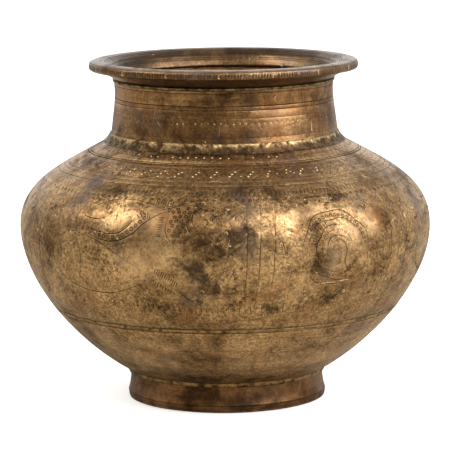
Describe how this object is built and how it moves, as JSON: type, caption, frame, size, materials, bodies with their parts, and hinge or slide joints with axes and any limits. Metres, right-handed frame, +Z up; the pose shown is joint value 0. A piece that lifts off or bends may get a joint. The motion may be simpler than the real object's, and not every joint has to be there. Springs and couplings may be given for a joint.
{
  "type": "water pot",
  "caption": "Round-bellied brass lota water pot with a short waisted neck, broad flat rim and ring foot, engraved with fish, a medallion and turned lines.",
  "frame": {"origin": "middle of the foot ring's underside, on the surface the pot stands on", "axes": "+Z up along the turning axis, towards the mouth; -Y faces the viewer, with the engraved medallion to the right of it and the large fish to the left"},
  "size_m": [0.15, 0.15, 0.124],
  "materials": {
    "aged_brass": "aged brass, turned and hand engraved, brown patina in the hollows and soft golden wear on the swell",
    "browned_brass": "aged brass with a darker reddish brown patina, faint turning lines",
    "spelter": "pale yellow brazing brass, lumpy and file-marked, with dark pits and traces of verdigris"
  },
  "bodies": {
    "root": {"foot_ring": "browned_brass", "foot_braze": "spelter", "lower_bowl": "aged_brass", "body_seam_braze": "spelter", "upper_body": "aged_brass", "neck_braze": "spelter", "neck_collar": "browned_brass", "rim_braze": "spelter", "rim_ring": "browned_brass"}
  },
  "joints": []
}
